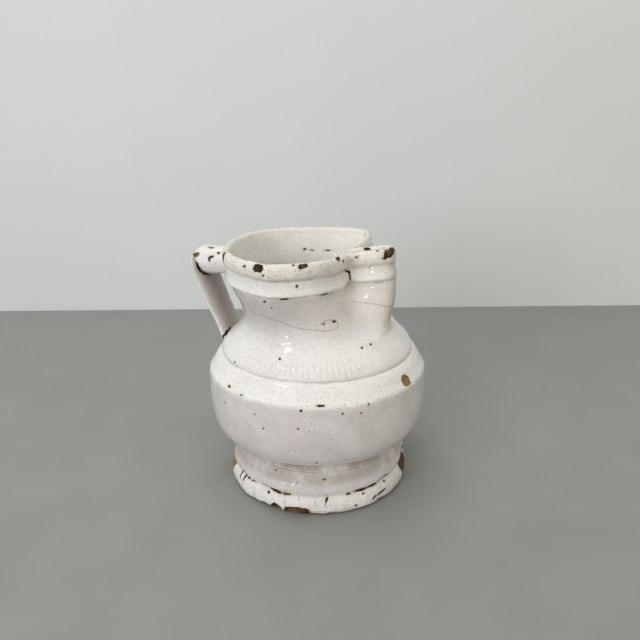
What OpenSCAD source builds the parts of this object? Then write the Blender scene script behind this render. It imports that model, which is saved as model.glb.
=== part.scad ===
// Tin-glazed earthenware pitcher: turned foot, broad belly, fluted shoulder, flared neck
// with a moulded collar and lip, a pinched pouring spout, and a strap handle hung from a lug.
// The vessel's axis is Z, it stands on z = 0, the spout points along +X and the handle
// along -X. Every clay piece carries a coat of glaze, and the two are separate solids.

/* [Foot] */
// Radius of the foot's widest turn, at its glaze
foot_r = 68.8; // [64:0.2:74]
// Radius of the waist between foot and belly
waist_r = 60.8; // [56:0.2:64]
// Height of the joint between foot and belly
waist_z = 36.4; // [35:0.2:38]
// Radius of the bare recess under the foot
recess_r = 50; // [44:0.5:54]
// Depth of the bare recess under the foot
recess_depth = 3.5; // [2:0.1:5]

/* [Belly] */
// Largest radius of the belly, at its glaze
belly_r = 81; // [78:0.2:84]
// Height of the edge where the belly turns into its sloping ledge
belly_top_z = 91; // [88:0.5:94]
// Radius of the groove between the ledge and the fluted shoulder
step_r = 70; // [67:0.2:73]
// Height of that groove
step_z = 104.4; // [102:0.2:107]

/* [Neck] */
// Radius of the vessel where shoulder and neck are joined
neck_foot_r = 57.5; // [54:0.2:60]
// Height where shoulder and neck are joined
neck_foot_z = 121.7; // [120:0.2:124]
// Smallest radius of the neck
neck_r = 53.6; // [51:0.2:56]
// Radius of the collar's lower edge
collar_r = 64.7; // [61:0.2:68]
// Height of the collar's lower edge
collar_z = 158.2; // [156:0.2:160]
// Radius of the middle of the rim's wall
rim_r = 63; // [61:0.2:65]
// Height of the rim's crest
rim_z = 179.2; // [177:0.2:182]

/* [Spout] */
// Distance from the axis to the middle of the wall at the spout's tip
tip_x = 55; // [52:0.5:58]
// Radius that the middle of the wall turns through at the tip
tip_r = 7; // [6.5:0.25:8]
// How far the tip is drawn up above the rim
tip_rise = 2.6; // [0:0.2:5]
// How far the two pinched throats dip below the rim
throat_dip = 1.2; // [0:0.2:3]
// How far the rim is drawn up beside the handle
handle_lift = 1.4; // [0:0.2:3]

/* [Handle] */
// Width of the strap
strap_w = 30; // [24:0.5:34]
// Thickness of the strap
strap_t = 7.5; // [6:0.25:9]
// Radius of the round lug that joins the strap to the rim
lug_r = 10.5; // [9:0.25:12]
// Height of the lug's middle
lug_z = 164.5; // [161:0.5:167]
// Turn of the handle about the vessel's axis
handle_turn = 4; // [-12:1:12]
// Twist of the handle about an upright line through its middle
handle_twist = -10; // [-15:1:15]

/* [Glaze] */
// Thickness of the glaze coat
coat = 1; // [0.6:0.1:1.4]

/* [Hidden] */

clay = "tan";
glaze = "ivory";
seat = 0.6;            // clearance between a handle piece and the wall that it sits on
round_columns = 30;    // columns round the plain part of the neck
pinch_steps = 2;       // columns for each stretch of the pinched outline

// ---------- curves ----------

function catmull(p0, p1, p2, p3, t) =
    0.5 * (2 * p1 + (p2 - p0) * t + (2 * p0 - 5 * p1 + 4 * p2 - p3) * t * t
           + (3 * p1 - p0 - 3 * p2 + p3) * t * t * t);

// A smooth curve through all the points, with a number of steps for each stretch
function spline(points, steps) = [
    for (i = [0:len(points) - 2]) for (k = [0:steps - 1])
        catmull(points[max(i - 1, 0)], points[i], points[i + 1],
                points[min(i + 2, len(points) - 1)], k / steps),
    points[len(points) - 1]];

function slice(list, first, last) = [for (i = [first:last]) list[i]];
function reverse(list) = [for (i = [len(list) - 1:-1:0]) list[i]];
function unit(v) = v / norm(v);
function smooth(t) = let (c = min(max(t, 0), 1)) c * c * (3 - 2 * c);

// The right-hand normal of an open profile of [r, z, ...] points at one of them
function profile_normal(p, i) =
    let (a = p[max(i - 1, 0)], b = p[min(i + 1, len(p) - 1)])
    unit([b[1] - a[1], a[0] - b[0]]);

// A profile moved to its left, keeping its height at the level joints
function inset(p, d, level) = [
    for (i = [0:len(p) - 1])
        let (n = profile_normal(p, i), flat = len(search(i, level)) > 0,
             r = flat ? p[i][0] - d / n[0] : p[i][0] - d * n[0],
             z = flat ? p[i][1] : p[i][1] - d * n[1])
        len(p[i]) > 2 ? [r, z, p[i][2] + r - p[i][0]] : [r, z]];

// ---------- profiles of revolution, [r, z] from the bottom up ----------
// Each stretch ends at a joint, and the next one goes on from there.

band_r = foot_r - 3.8;   // bottom of the groove above the foot's glaze band
roll_r = foot_r - 1.9;   // the roll above that groove
turn_steps = 3;

foot_points = [
    [foot_r - 2.2, 0.7], [foot_r - 0.5, 2.2], [foot_r, 4.6], [foot_r - 0.3, 8],
    [foot_r - 1.4, 11.4], [band_r, 14.2], [roll_r - 1, 16], [roll_r, 18.4],
    [roll_r, 20.6], [roll_r - 1, 23.4], [roll_r - 3, 26.2], [roll_r - 4.9, 28.8],
    [waist_r + 0.3, 31.4], [waist_r - 0.2, waist_z - 2.4], [waist_r + 0.8, waist_z]];
belly_points = [
    [belly_r - 14.5, waist_z + 4], [belly_r - 8.6, waist_z + 7.6], [belly_r - 4.6, waist_z + 12],
    [belly_r - 2, waist_z + 17.8], [belly_r - 0.6, waist_z + 25], [belly_r, 69], [belly_r, 77],
    [belly_r - 0.2, belly_top_z - 6], [belly_r - 0.5, belly_top_z - 1.2],
    [belly_r - 1.5, belly_top_z + 1.2], [belly_r - 4, belly_top_z + 5.2],
    [step_r + 4.6, step_z - 4.4], [step_r + 2, step_z - 1.2], [step_r, step_z]];
shoulder_points = [
    [step_r + 0.2, step_z + 1.6], [step_r - 0.5, step_z + 3.6],
    [step_r - 2.4, step_z + 6.4], [step_r - 4.9, step_z + 9.2],
    [neck_foot_r + 4.7, neck_foot_z - 5.2], [neck_foot_r + 2.2, neck_foot_z - 2.6],
    [neck_foot_r, neck_foot_z]];
outer = spline(concat(foot_points, belly_points, shoulder_points), turn_steps);
waist_i = (len(foot_points) - 1) * turn_steps;
step_i = waist_i + len(belly_points) * turn_steps;
top_i = step_i + len(shoulder_points) * turn_steps;
outer_clay = inset(outer, coat, [waist_i, step_i, top_i]);

floor_z = 13;            // top of the lining on the vessel's floor
foot_lining_points = [
    [0, floor_z], [14, floor_z], [28, floor_z + 0.3], [39, floor_z + 1.8], [46, floor_z + 5.5],
    [49.6, floor_z + 12], [waist_r - 8.8, waist_z]];
belly_lining_points = [
    [belly_r - 18.5, 41.5],
    [belly_r - 11.6, 48], [belly_r - 8.2, 56], [belly_r - 6.7, 66], [belly_r - 6.3, 76],
    [belly_r - 6.8, 85], [belly_r - 9.4, belly_top_z + 2], [belly_r - 13.4, belly_top_z + 8],
    [step_r - 7.2, step_z]];
shoulder_lining_points = [
    [step_r - 11.4, step_z + 5.6],
    [neck_foot_r - 3.4, neck_foot_z - 6], [neck_foot_r - 6.6, neck_foot_z]];
lining = spline(concat(foot_lining_points, belly_lining_points, shoulder_lining_points), turn_steps);
lining_waist_i = (len(foot_lining_points) - 1) * turn_steps;
lining_step_i = lining_waist_i + len(belly_lining_points) * turn_steps;
lining_top_i = lining_step_i + len(shoulder_lining_points) * turn_steps;
cavity = [for (p = inset(lining, -coat, [lining_waist_i, lining_step_i, lining_top_i]))
    [max(p[0], 0), p[1]]];

module turned(points) { rotate_extrude($fn = 180) polygon(points); }

// ---------- the pinched mouth ----------

// The middle of the rim's wall on the spout's side, from the near end of the plain rim,
// along the near wall to its throat, round the tip, and back along the far wall
near_angle = -98;
far_angle = 70;
tip_c = tip_x - tip_r;
near_throat = [27.4, -13.4];
far_throat = [28.6, 3.4];
pinch_points = [
    rim_r * [cos(near_angle), sin(near_angle)],
    [3.4, -57.4], [9.6, -53], [15.2, -47.4], [19.6, -40.4], [22.8, -32.2], [25.2, -23.2],
    near_throat, [33.4, -8.8],
    [41.5, -tip_r - 0.6], [tip_c, -tip_r], [tip_c + tip_r * 0.75, -tip_r * 0.66], [tip_x, 0],
    [tip_c + tip_r * 0.75, tip_r * 0.66], [tip_c, tip_r], [41.5, tip_r - 0.2],
    [34.2, 5.8], far_throat,
    [28.6, 12.4], [28.4, 22.5], [28.4, 32.5], [27.6, 42], [26, 50.5], [22.8, 56.6],
    rim_r * [cos(far_angle), sin(far_angle)]];
near_throat_i = 7;
far_throat_i = 17;

plain_arc = [for (i = [1:round_columns - 1])
    let (a = far_angle + (360 + near_angle - far_angle) * i / round_columns)
    rim_r * [cos(a), sin(a)]];
pinch = spline(pinch_points, pinch_steps);
mouth = concat(pinch, plain_arc);
columns = len(mouth);
pinched = len(pinch);

// Where each column stands on the plain round neck below the spout
function polar(p) = atan2(p[1], p[0]);
column_angle = [for (i = [0:columns - 1])
    i < pinched
        ? 0.5 * polar(mouth[i]) + 0.5 * (near_angle + (far_angle - near_angle) * i / (pinched - 1))
        : polar(mouth[i])];

// How much each column belongs to the spout: 0 on the plain rim, 1 from throat to throat
function spout_share(i) =
    i >= pinched ? 0
    : i < near_throat_i * pinch_steps ? smooth(i / (near_throat_i * pinch_steps))
    : i > far_throat_i * pinch_steps
        ? smooth((pinched - 1 - i) / (pinched - 1 - far_throat_i * pinch_steps))
    : 1;

// How far a column's rim is drawn up at the tip and the handle, or dips at a throat
lift_angle = 160;
lift_spread = 50;
tip_i = 12;
function rise(i) =
    let (from_tip = abs(i / pinch_steps - tip_i), turned_by = abs(column_angle[i] - lift_angle))
    i >= pinched ? handle_lift * smooth(1 - min(turned_by, 360 - turned_by) / lift_spread)
    : tip_rise * smooth(1 - from_tip / 5)
        - throat_dip * smooth(1 - abs(from_tip - 5.2) / 4);

function outline_normal(i) =
    let (a = mouth[(i + columns - 1) % columns], b = mouth[(i + 1) % columns])
    unit([b[1] - a[1], a[0] - b[0]]);

// How far the outline at a height has turned from the round neck into the pinched mouth
function pinching(z) = pow(min(max((z - neck_foot_z) / (collar_z - neck_foot_z - 4), 0), 1), 0.75);

// The neck's wall, [r, z, offset from the pinched outline], up the outside, over the lip
// and down the inside
neck_section = [
    [neck_foot_r, neck_foot_z, 8], [neck_r + 0.7, 127.2, 7], [neck_r, 132.5, 6.4],
    [neck_r + 1, 138, 5.6], [neck_r + 3, 143.5, 4.8], [neck_r + 5.8, 149, 3.8],
    [collar_r - 3, collar_z - 4, 3], [collar_r - 1.6, collar_z - 0.9, 3],
    [collar_r + 0.3, collar_z, 4.6], [collar_r + 0.4, collar_z + 1.9, 4.7],
    [collar_r - 0.9, collar_z + 4.8, 3.2], [rim_r - 0.8, rim_z - 12.4, 2.1],
    [rim_r + 0.1, rim_z - 10.4, 2.5], [rim_r + 3.1, rim_z - 8.6, 3.9],
    [rim_r + 3.6, rim_z - 5.2, 4], [rim_r + 2.3, rim_z - 1.4, 2.8], [rim_r + 0.1, rim_z, 0.3],
    [rim_r - 2.4, rim_z - 1, -2.2],
    [rim_r - 3.8, rim_z - 4.2, -3.3], [rim_r - 4.6, rim_z - 8.7, -3.5],
    [rim_r - 5.6, rim_z - 15.2, -3.6], [rim_r - 8, rim_z - 22.2, -3.6],
    [neck_r - 0.5, 149, -3.4], [neck_r - 4.2, 141, -2.6], [neck_r - 6.2, 133, -1.2],
    [neck_foot_r - 6.6, neck_foot_z, 1]];
neck_last = len(neck_section) - 1;
neck_clay_section = inset(neck_section, coat, [0, neck_last]);

function neck_point(i, s) =
    let (w = pinching(s[1]), k = spout_share(i) * w,
         spoke = [cos(column_angle[i]), sin(column_angle[i])],
         middle = (1 - w) * rim_r * spoke + w * mouth[i],
         n = unit((1 - w) * spoke + w * outline_normal(i)),
         p = middle + n * ((s[0] - rim_r) * (1 - k) + s[2] * k))
    [p[0], p[1], s[1] + rise(i) * w];

// A solid ring swept round the neck: its section is a closed loop of [r, z, offset].
// From the row where the section runs back, its faces are split along the other diagonal,
// so that they lie exactly on the faces of the clay.
module neck_ring(section, back_from) {
    m = len(section);
    points = [for (i = [0:columns - 1]) for (s = section) neck_point(i, s)];
    faces = [for (i = [0:columns - 1]) for (j = [0:m - 1])
        let (a = i * m + j, b = i * m + (j + 1) % m,
             c = ((i + 1) % columns) * m + (j + 1) % m, d = ((i + 1) % columns) * m + j)
        each j < back_from ? [[a, b, c], [a, c, d]] : [[a, b, d], [b, c, d]]];
    polyhedron(points, faces);
}

// ---------- the handle ----------

function shoulder_r(z) =
    lookup(z, [for (i = [step_i - 4 * turn_steps:top_i]) [outer[i][1], outer[i][0]]]);
function rim_side_r(z) = lookup(z, [for (i = [5:15]) [neck_section[i][1], neck_section[i][0]]]);

// Puts a point of the handle, drawn along -X, at its real turn and twist
handle_middle = [-76, 0, 0];
function spun(p, a) = [p[0] * cos(a) - p[1] * sin(a), p[0] * sin(a) + p[1] * cos(a), p[2]];
function placed(p) = spun(handle_middle + spun(p - handle_middle, handle_twist), handle_turn);

// Slides a point along a way, between an inside and an outside distance, until it stands
// clear of a wall of revolution
function settled(p, way, wall_r, within, without, tries) =
    let (mid = (within + without) / 2, q = p + mid * way,
         inside = norm([q[0], q[1]]) < wall_r(q[2]) + seat)
    tries == 0 ? q
    : inside ? settled(p, way, wall_r, mid, without, tries - 1)
    : settled(p, way, wall_r, within, mid, tries - 1);

// The strap's middle line in its own plane: distance from the axis, height, and the shares
// of its full width and thickness there
strap_line = spline([
    [67.9, 108, 0.78, 1], [72.6, 118, 0.79, 1], [78.2, 130, 0.82, 1], [83.6, 142, 0.88, 0.98],
    [87.6, 153, 0.95, 0.86], [89.5, 163, 1, 0.62], [89.7, 168.6, 0.9, 0.56]], 2);
strap_rows = len(strap_line);
strap_sides = 16;

function strap_way(j) =
    let (a = strap_line[max(j - 1, 0)], b = strap_line[min(j + 1, strap_rows - 1)])
    unit([b[0] - a[0], b[1] - a[1]]);

// A point of the strap's rounded section; grow is how far it lies outside the clay
function strap_point(j, a, grow) =
    let (s = strap_way(j), half_w = strap_w / 2 * strap_line[j][2] - coat + grow,
         half_t = strap_t / 2 * strap_line[j][3] - coat + grow,
         across = half_w * sign(cos(a)) * pow(abs(cos(a)), 0.55),
         through = half_t * sign(sin(a)) * pow(abs(sin(a)), 0.7))
    placed([-strap_line[j][0] - through * s[1], across, strap_line[j][1] - through * s[0]]);

strap_down = placed([1, 0, -1.8]) - placed([0, 0, 0]);
function strap_foot(p) = settled(p, strap_down, function(z) shoulder_r(z), 12, -12, 16);
function strap_loop(j, grow) = [for (k = [0:strap_sides - 1])
    let (p = strap_point(j, 360 * k / strap_sides, grow)) j == 0 ? strap_foot(p) : p];
strap_foot_middle = strap_foot((strap_point(0, 90, 0) + strap_point(0, 270, 0)) / 2);
function strap_head(grow) = let (top = strap_line[strap_rows - 1])
    placed([-top[0], 0, top[1] + 2.4 - coat + grow]);

// The lug's stations from the rim to the strap: share of the way, share of the radius,
// how far it sinks, and its breadth over its height
lug_stations = [[0, 1.02, 0, 1.08], [0.2, 0.97, 0.2, 1.08], [0.45, 0.97, 0.6, 1.14],
                [0.7, 1, 1, 1.22], [0.88, 0.98, 1.4, 1.3], [0.97, 0.9, 1.6, 1.34],
                [1, 0.8, 1.8, 1.36]];
lug_sides = 24;
cap_rings = [0.75, 0.5, 0.25];

function strap_inner(z) =
    -lookup(z, [for (s = strap_line) [s[1], s[0] - strap_t * 0.52 * s[3]]]) + seat;

// A point of the lug's station, at a share of the station's radius
function lug_point(station, a, share, grow) =
    let (r = (lug_r * station[1] - coat + grow) * share,
         y = r * station[3] * cos(a), z = lug_z - station[2] + r * sin(a),
         at_strap = placed([strap_inner(z), y, z]),
         at_rim = settled(at_strap, placed([1, 0, 0]) - placed([0, 0, 0]),
                          function(h) rim_side_r(h), 40, 0, 16))
    at_rim + station[0] * (at_strap - at_rim);
function lug_loop(station, share, grow) =
    [for (k = [0:lug_sides - 1]) lug_point(station, 360 * k / lug_sides, share, grow)];

// ---------- skins of loops that all have the same number of points ----------

function ring_faces(a, b, sides) = [for (k = [0:sides - 1])
    let (n = (k + 1) % sides) each [[a + k, a + n, b + n], [a + k, b + n, b + k]]];
function ring_faces_back(a, b, sides) = [for (k = [0:sides - 1])
    let (n = (k + 1) % sides) each [[a + k, a + n, b + k], [a + n, b + n, b + k]]];
function fan_faces(centre, first, sides) =
    [for (k = [0:sides - 1]) [centre, first + (k + 1) % sides, first + k]];
function flipped(faces) = [for (f = faces) reverse(f)];

// A closed solid through loops, from a first middle point to a last one
module lofted(first, loops, last) {
    sides = len(loops[0]);
    points = concat([first], [for (l = loops) each l], [last]);
    end = len(loops) - 1;
    faces = concat(
        fan_faces(0, 1, sides),
        [for (j = [0:end - 1]) each ring_faces(1 + j * sides, 1 + (j + 1) * sides, sides)],
        flipped(fan_faces(len(points) - 1, 1 + end * sides, sides)));
    polyhedron(points, flipped(faces));
}

// A closed sleeve whose loops run out along one skin and come back along the other, which
// is split along the other diagonal
module sleeve(loops, back_from) {
    sides = len(loops[0]);
    m = len(loops);
    points = [for (l = loops) each l];
    faces = [for (j = [0:m - 1]) let (a = j * sides, b = ((j + 1) % m) * sides)
        each j < back_from ? ring_faces(a, b, sides) : ring_faces_back(a, b, sides)];
    polyhedron(points, flipped(faces));
}

// ---------- the pieces ----------

module foot() {
    heel_r = outer_clay[0][0];
    color(clay) turned(concat(
        [[0, recess_depth], [recess_r - 3, recess_depth], [recess_r, 0], [heel_r - 1, 0]],
        slice(outer_clay, 0, waist_i),
        reverse(slice(cavity, 0, lining_waist_i))));
}

module belly() {
    color(clay) turned(concat(slice(outer_clay, waist_i, step_i),
                              reverse(slice(cavity, lining_waist_i, lining_step_i))));
}

module shoulder() {
    color(clay) turned(concat(slice(outer_clay, step_i, top_i),
                              reverse(slice(cavity, lining_step_i, lining_top_i))));
}

module neck() { color(clay) neck_ring(neck_clay_section, neck_last + 1); }

module handle_strap() {
    color(clay) lofted(strap_foot_middle, [for (j = [0:strap_rows - 1]) strap_loop(j, 0)],
                       strap_head(0));
}

module handle_lug() {
    first = lug_stations[0];
    last = lug_stations[len(lug_stations) - 1];
    color(clay) lofted(
        lug_point(last, 0, 0, 0),
        concat([for (c = reverse(cap_rings)) lug_loop(last, c, 0)],
               [for (s = reverse(lug_stations)) lug_loop(s, 1, 0)],
               [for (c = cap_rings) lug_loop(first, c, 0)]),
        lug_point(first, 0, 0, 0));
}

module coat_between(first, last) {
    color(glaze) turned(concat(slice(outer, first, last), reverse(slice(outer_clay, first, last))));
}

module foot_glaze() { coat_between(0, waist_i); }

module belly_glaze() { coat_between(waist_i, step_i); }

module shoulder_glaze() { coat_between(step_i, top_i); }

module neck_glaze() {
    color(glaze) neck_ring(concat(neck_section, reverse(neck_clay_section)), neck_last + 1);
}

module strap_glaze() {
    rows = [for (j = [0:strap_rows - 1]) j];
    sides = strap_sides;
    inner = [for (j = rows) strap_loop(j, 0)];
    shell = [for (j = rows) strap_loop(j, coat)];
    points = concat([for (l = shell) each l], [strap_head(coat)], [for (l = inner) each l],
                    [strap_head(0)]);
    half = strap_rows * sides + 1;
    function side_faces(start) = concat(
        [for (j = [0:strap_rows - 2])
            each ring_faces(start + j * sides, start + (j + 1) * sides, sides)],
        flipped(fan_faces(start + half - 1, start + (strap_rows - 1) * sides, sides)));
    faces = concat(side_faces(0), flipped(side_faces(half)), ring_faces(half, 0, sides));
    color(glaze) polyhedron(points, flipped(faces));
}

module lug_glaze() {
    color(glaze) sleeve(concat([for (s = reverse(lug_stations)) lug_loop(s, 1, coat)],
                               [for (s = lug_stations) lug_loop(s, 1, 0)]), len(lug_stations));
}

module lining_glaze() { color(glaze) turned(concat(cavity, reverse(lining))); }

foot();
belly();
shoulder();
neck();
handle_strap();
handle_lug();
foot_glaze();
belly_glaze();
shoulder_glaze();
neck_glaze();
strap_glaze();
lug_glaze();
lining_glaze();
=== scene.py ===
"""A tin-glazed earthenware pitcher on a plain floor. The skins below follow the CAD part's
profiles in finer steps, and add what a potter's hand and long use have left on them: throwing
lines, flutes, pooled glaze, pits, and chips that lay the brown clay bare."""
import bpy
import numpy as np
from mathutils import Matrix, Vector


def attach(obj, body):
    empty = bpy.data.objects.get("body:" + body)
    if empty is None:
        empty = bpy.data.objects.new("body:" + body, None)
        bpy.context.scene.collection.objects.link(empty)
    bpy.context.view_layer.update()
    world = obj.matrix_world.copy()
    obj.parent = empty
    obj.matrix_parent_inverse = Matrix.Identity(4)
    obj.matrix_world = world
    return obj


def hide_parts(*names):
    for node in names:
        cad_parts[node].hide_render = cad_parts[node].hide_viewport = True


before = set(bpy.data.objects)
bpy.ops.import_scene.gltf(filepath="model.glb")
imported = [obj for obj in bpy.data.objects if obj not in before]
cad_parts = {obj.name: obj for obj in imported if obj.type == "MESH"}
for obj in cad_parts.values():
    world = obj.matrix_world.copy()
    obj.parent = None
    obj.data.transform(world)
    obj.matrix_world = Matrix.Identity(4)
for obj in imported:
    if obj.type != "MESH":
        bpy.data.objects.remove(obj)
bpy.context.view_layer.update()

# ---------- sizes of the part, in millimetres ----------
# The single sizes are those of the CAD source. The belly's top edge, the ring, the lip, the
# neck's inner wall and the far fold of the spout depart from its profiles, by 4.5 mm at most.

MM = 0.001
FOOT_R, WAIST_R, WAIST_Z = 68.8, 60.8, 36.4
RECESS_R, RECESS_DEPTH = 50.0, 3.5
BELLY_R, BELLY_TOP_Z = 81.0, 91.0
STEP_R, STEP_Z = 70.0, 104.4
NECK_FOOT_R, NECK_FOOT_Z = 57.5, 121.7
NECK_R, COLLAR_R, COLLAR_Z = 53.6, 64.7, 158.2
RIM_R, RIM_Z = 63.0, 179.2
TIP_X, TIP_R, TIP_RISE, THROAT_DIP, HANDLE_LIFT = 55.0, 7.0, 2.6, 1.2, 1.4
STRAP_W, STRAP_T = 30.0, 7.5
LUG_R, LUG_Z = 10.5, 164.5
HANDLE_TURN, HANDLE_TWIST = 4.0, -10.0
BAND_R, ROLL_R = FOOT_R - 3.8, FOOT_R - 1.9
FLOOR_Z = 13.0

FOOT_POINTS = [
    (FOOT_R - 2.2, 0.7), (FOOT_R - 0.5, 2.2), (FOOT_R, 4.6), (FOOT_R - 0.3, 8),
    (FOOT_R - 1.4, 11.4), (BAND_R, 14.2), (ROLL_R - 1, 16), (ROLL_R, 18.4),
    (ROLL_R, 20.6), (ROLL_R - 1, 23.4), (ROLL_R - 3, 26.2), (ROLL_R - 4.9, 28.8),
    (WAIST_R + 0.3, 31.4), (WAIST_R - 0.2, WAIST_Z - 2.4), (WAIST_R + 0.8, WAIST_Z)]
BELLY_POINTS = [
    (BELLY_R - 14.5, WAIST_Z + 4), (BELLY_R - 8.6, WAIST_Z + 7.6), (BELLY_R - 4.6, WAIST_Z + 12),
    (BELLY_R - 2, WAIST_Z + 17.8), (BELLY_R - 0.6, WAIST_Z + 25), (BELLY_R, 69), (BELLY_R, 77),
    (BELLY_R - 0.2, BELLY_TOP_Z - 6), (BELLY_R - 0.4, BELLY_TOP_Z - 2),
    (BELLY_R - 0.8, BELLY_TOP_Z), (BELLY_R - 1.7, BELLY_TOP_Z + 1.5),
    (BELLY_R - 4, BELLY_TOP_Z + 5), (STEP_R + 4.6, STEP_Z - 4.4), (STEP_R + 2, STEP_Z - 1.2),
    (STEP_R + 0.5, STEP_Z - 0.2), (STEP_R, STEP_Z)]
SHOULDER_POINTS = [
    (STEP_R + 0.2, STEP_Z + 1.6), (STEP_R - 0.5, STEP_Z + 3.6),
    (STEP_R - 2.4, STEP_Z + 6.4), (STEP_R - 4.9, STEP_Z + 9.2),
    (NECK_FOOT_R + 4.7, NECK_FOOT_Z - 5.2), (NECK_FOOT_R + 2.2, NECK_FOOT_Z - 2.6),
    (NECK_FOOT_R, NECK_FOOT_Z)]
LINING_POINTS = [
    (NECK_FOOT_R - 6.6, NECK_FOOT_Z), (NECK_FOOT_R - 3.4, NECK_FOOT_Z - 6),
    (STEP_R - 11.4, STEP_Z + 5.6), (STEP_R - 7.2, STEP_Z), (BELLY_R - 13.4, BELLY_TOP_Z + 8),
    (BELLY_R - 9.4, BELLY_TOP_Z + 2), (BELLY_R - 6.8, 85), (BELLY_R - 6.3, 76), (BELLY_R - 6.7, 66),
    (BELLY_R - 8.2, 56), (BELLY_R - 11.6, 48), (BELLY_R - 18.5, 41.5), (WAIST_R - 8.8, WAIST_Z),
    (49.6, FLOOR_Z + 12), (46, FLOOR_Z + 5.5), (39, FLOOR_Z + 1.8), (28, FLOOR_Z + 0.3),
    (14, FLOOR_Z), (0.4, FLOOR_Z)]
# The neck's wall: radius, height, and its offset from the pinched outline at the spout
NECK_SECTION = [
    (NECK_FOOT_R, NECK_FOOT_Z, 8), (NECK_R + 0.7, 127.2, 7), (NECK_R, 132.5, 6.4),
    (NECK_R + 1, 138, 5.6), (NECK_R + 3, 143.5, 4.8), (NECK_R + 5.8, 149, 3.8),
    (COLLAR_R - 3, COLLAR_Z - 4, 3.1), (COLLAR_R - 1.7, COLLAR_Z - 1.2, 3.3),
    (COLLAR_R - 0.5, COLLAR_Z - 0.5, 4), (COLLAR_R + 0.5, COLLAR_Z + 0.3, 4.6),
    (COLLAR_R + 0.4, COLLAR_Z + 1.4, 4.7), (COLLAR_R - 0.7, COLLAR_Z + 4, 3.5),
    (COLLAR_R - 1.7, COLLAR_Z + 6.8, 2.6), (RIM_R - 0.9, RIM_Z - 11.6, 2.3),
    (RIM_R + 0.5, RIM_Z - 10.4, 2.7), (RIM_R + 3.2, RIM_Z - 8.8, 3.8),
    (RIM_R + 3.7, RIM_Z - 6.8, 4.1), (RIM_R + 3.4, RIM_Z - 3.6, 3.7),
    (RIM_R + 2.1, RIM_Z - 1.1, 2.4), (RIM_R, RIM_Z, 0.2), (RIM_R - 2.4, RIM_Z - 1, -2.2),
    (RIM_R - 3.9, RIM_Z - 4.2, -3.3), (RIM_R - 5.3, RIM_Z - 8.7, -3.6),
    (RIM_R - 7.2, RIM_Z - 15.2, -3.8), (RIM_R - 9.2, RIM_Z - 22.2, -3.8),
    (NECK_R - 1.4, 149, -3.5), (NECK_R - 4.2, 141, -2.6), (NECK_R - 6.2, 133, -1.2),
    (NECK_FOOT_R - 6.6, NECK_FOOT_Z, 1)]

# The middle of the rim's wall round the pinched spout
NEAR_ANGLE, FAR_ANGLE = -98.0, 70.0
TIP_C = TIP_X - TIP_R
NEAR_THROAT_I, TIP_I, FAR_THROAT_I = 7, 12, 17


def at_angle(radius, degrees):
    return radius * np.cos(np.radians(degrees)), radius * np.sin(np.radians(degrees))


PINCH_POINTS = [
    at_angle(RIM_R, NEAR_ANGLE),
    (3.4, -57.4), (9.6, -53), (15.2, -47.4), (19.6, -40.4), (22.8, -32.2), (25.2, -23.2),
    (27.4, -13.4), (33.4, -8.8), (41.5, -TIP_R - 0.6), (TIP_C, -TIP_R),
    (TIP_C + TIP_R * 0.75, -TIP_R * 0.66), (TIP_X, 0), (TIP_C + TIP_R * 0.75, TIP_R * 0.66),
    (TIP_C, TIP_R), (41.5, TIP_R - 0.2), (32.2, 5.6), (24.4, 1.8),
    (25.8, 10.6), (27.5, 21.6), (28.2, 32.2), (27.6, 42), (26, 50.5), (22.8, 56.6),
    at_angle(RIM_R, FAR_ANGLE)]
STRAP_LINE = [
    (67.9, 108, 0.78, 1), (72.6, 118, 0.79, 1), (78.2, 130, 0.82, 1), (83.6, 142, 0.88, 0.98),
    (87.6, 153, 0.95, 0.86), (89.5, 163, 1, 0.62), (89.7, 168.6, 0.9, 0.56)]
LUG_STATIONS = [
    (0, 1.02, 0, 1.08), (0.2, 0.97, 0.2, 1.08), (0.45, 0.97, 0.6, 1.14), (0.7, 1, 1, 1.22),
    (0.88, 0.98, 1.4, 1.3), (0.97, 0.9, 1.6, 1.34), (1, 0.8, 1.8, 1.36)]

# ---------- helpers on arrays of points ----------


def smooth(t):
    t = np.clip(t, 0, 1)
    return t * t * (3 - 2 * t)


def bump_at(value, middle, width):
    """A soft hump, 1 at the middle and 0 a few widths away"""
    return np.exp(-((value - middle) / width) ** 2)


def unit(v):
    return v / np.maximum(np.linalg.norm(v, axis=-1, keepdims=True), 1e-9)


def spline(points, steps):
    """A Catmull-Rom curve through the points, and how far along the points it is"""
    p = np.array(points, float)
    at = np.linspace(0, len(p) - 1, (len(p) - 1) * steps + 1)
    i = np.minimum(at.astype(int), len(p) - 2)
    t = (at - i)[:, None]
    p0, p1, p2, p3 = p[np.maximum(i - 1, 0)], p[i], p[i + 1], p[np.minimum(i + 2, len(p) - 1)]
    curve = 0.5 * (2 * p1 + (p2 - p0) * t + (2 * p0 - 5 * p1 + 4 * p2 - p3) * t ** 2
                   + (3 * p1 - p0 - 3 * p2 + p3) * t ** 3)
    return curve, at


def resampled(curve, spacing, *others, flat=2):
    """The curve at equal spacings along its first coordinates, with other values along it"""
    gaps = np.linalg.norm(np.diff(curve[:, :flat], axis=0), axis=1)
    length = np.concatenate([[0], np.cumsum(gaps)])
    even = np.linspace(0, length[-1], max(int(round(length[-1] / spacing)), 2) + 1)
    columns = [np.interp(even, length, curve[:, k]) for k in range(curve.shape[1])]
    rest = [np.interp(even, length, other) for other in others]
    return [np.stack(columns, -1)] + rest


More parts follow.
